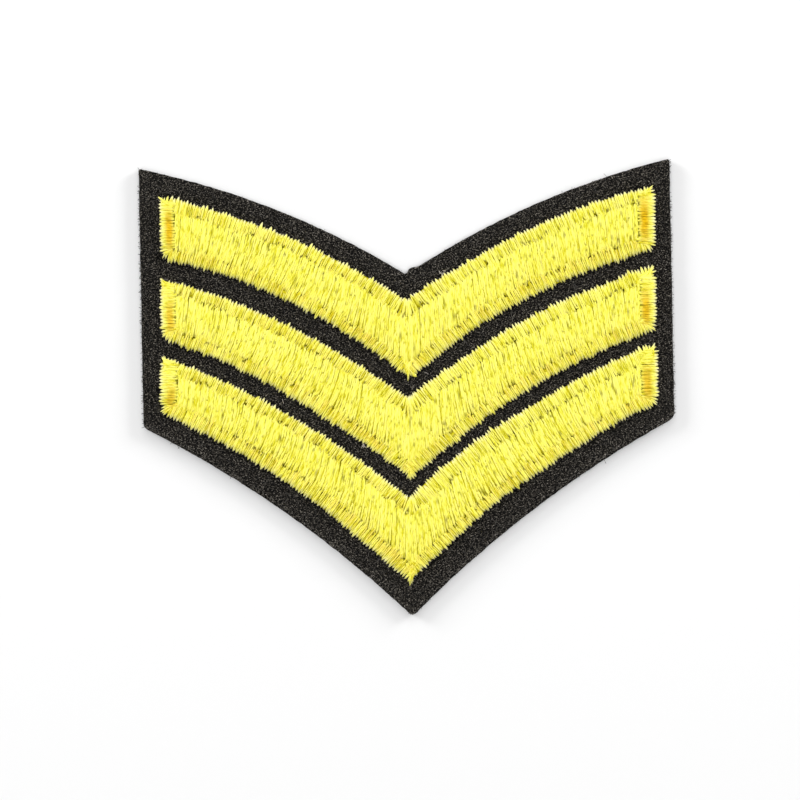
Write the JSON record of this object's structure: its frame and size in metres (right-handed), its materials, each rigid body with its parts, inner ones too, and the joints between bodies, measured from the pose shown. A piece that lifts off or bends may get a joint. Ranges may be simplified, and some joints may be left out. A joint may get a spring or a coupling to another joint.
{
  "type": "rank patch",
  "caption": "Chevron-shaped felt rank patch with curved embroidered chevrons, each a stitched field inside a raised satin border, sewn or glued to a sleeve.",
  "frame": {"origin": "on the underside of the felt, in the middle of its width and of its height from tip to upper corners", "axes": "+X to the right along the width, +Y up the middle line from the tip to the notch, +Z out of the embroidered face"},
  "size_m": [0.057, 0.0484, 0.0021],
  "materials": {
    "felt": "black pressed felt with short loose fibres",
    "fill_thread": "glossy yellow embroidery thread in rows of fill stitches",
    "border_thread": "glossy yellow embroidery thread in raised satin stitch"
  },
  "bodies": {
    "root": {"felt_ground": "felt", "fill_upper": "fill_thread", "fill_middle": "fill_thread", "fill_lower": "fill_thread", "border_upper": "border_thread", "border_middle": "border_thread", "border_lower": "border_thread"}
  },
  "joints": []
}
